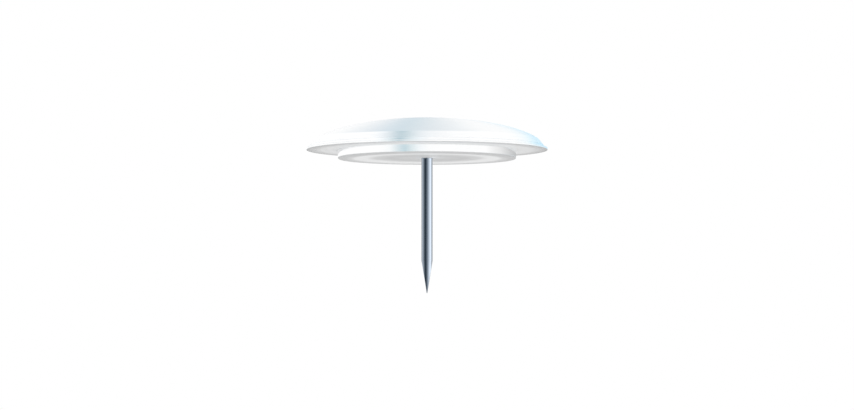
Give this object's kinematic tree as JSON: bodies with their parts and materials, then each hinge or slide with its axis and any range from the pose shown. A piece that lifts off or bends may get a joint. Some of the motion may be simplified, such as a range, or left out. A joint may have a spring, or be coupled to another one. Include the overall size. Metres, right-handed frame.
{
  "type": "push pin",
  "caption": "Domed drawing pin: shallow pressed metal crown with a bevelled band, seated on a thin flanged base with a collar, and a straight steel pin with a cone point.",
  "frame": {"origin": "on the pin's axis, in the plane of the collar's ring that rests on the board", "axes": "+Z runs along the pin from its point to the crown; the shape is turned about Z, so +X and +Y are free choices at right angles to it"},
  "size_m": [0.016, 0.016, 0.0116],
  "materials": {
    "satin_plate": "pressed steel sheet with a pale satin plating, lightly handled",
    "pin_steel": "polished drawn wire with a ground point",
    "core_resin": "cast resin, hidden"
  },
  "bodies": {
    "root": {"crown_cap": "satin_plate", "base_plate": "satin_plate", "pin": "pin_steel", "core_fill": "core_resin"}
  },
  "joints": []
}
